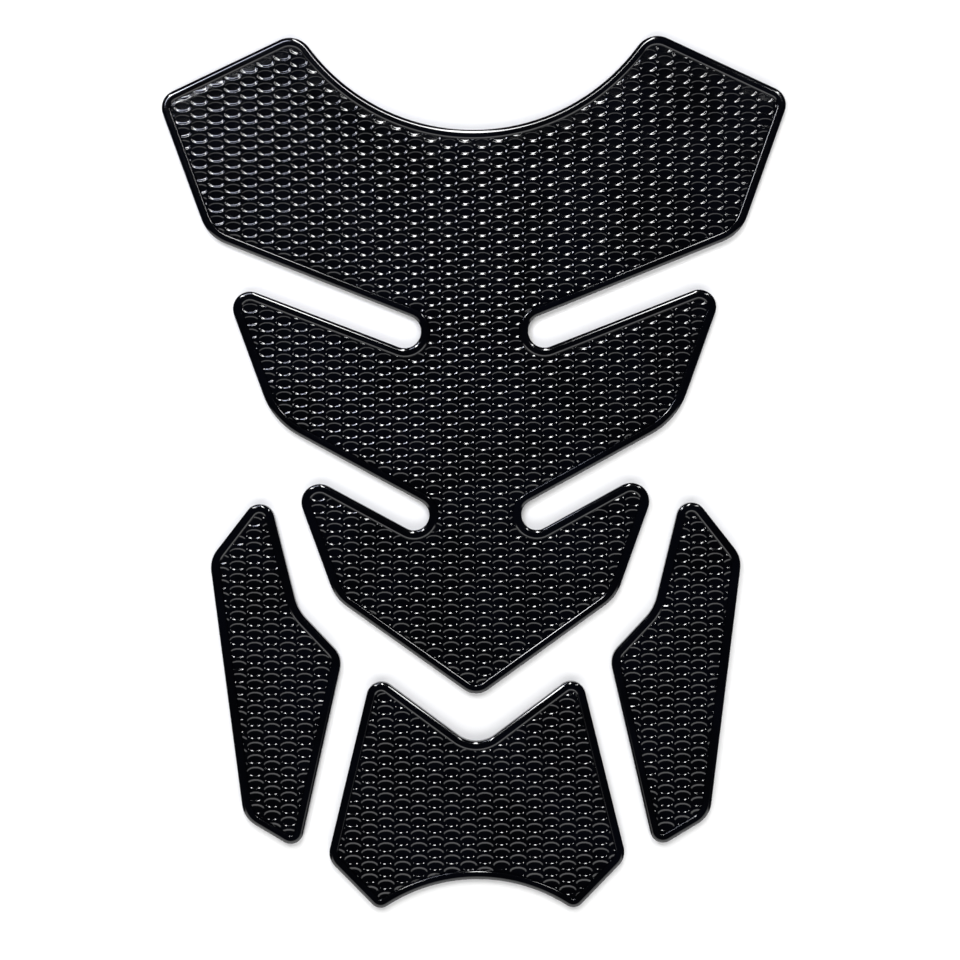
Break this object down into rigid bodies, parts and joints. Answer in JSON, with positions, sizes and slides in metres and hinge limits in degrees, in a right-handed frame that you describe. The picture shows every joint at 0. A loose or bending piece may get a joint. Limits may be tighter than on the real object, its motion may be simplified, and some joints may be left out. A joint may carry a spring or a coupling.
{
  "type": "motorcycle tank pad",
  "caption": "Motorcycle fuel tank pad: a set of separate black moulded pads, each with a raised bead round its edge and a field of shallow pockets inside it.",
  "frame": {"origin": "middle of the set's outline, on the plane of the pads' flat backs", "axes": "+Z away from the tank, +Y up the tank towards the filler cap notch, +X to the right as seen from the front"},
  "size_m": [0.15, 0.21, 0.0026],
  "materials": {
    "pad_plastic": "gloss"
  },
  "bodies": {
    "root": {"main_pad": "pad_plastic", "tail_pad": "pad_plastic", "right_side_pad": "pad_plastic", "left_side_pad": "pad_plastic"}
  },
  "joints": []
}
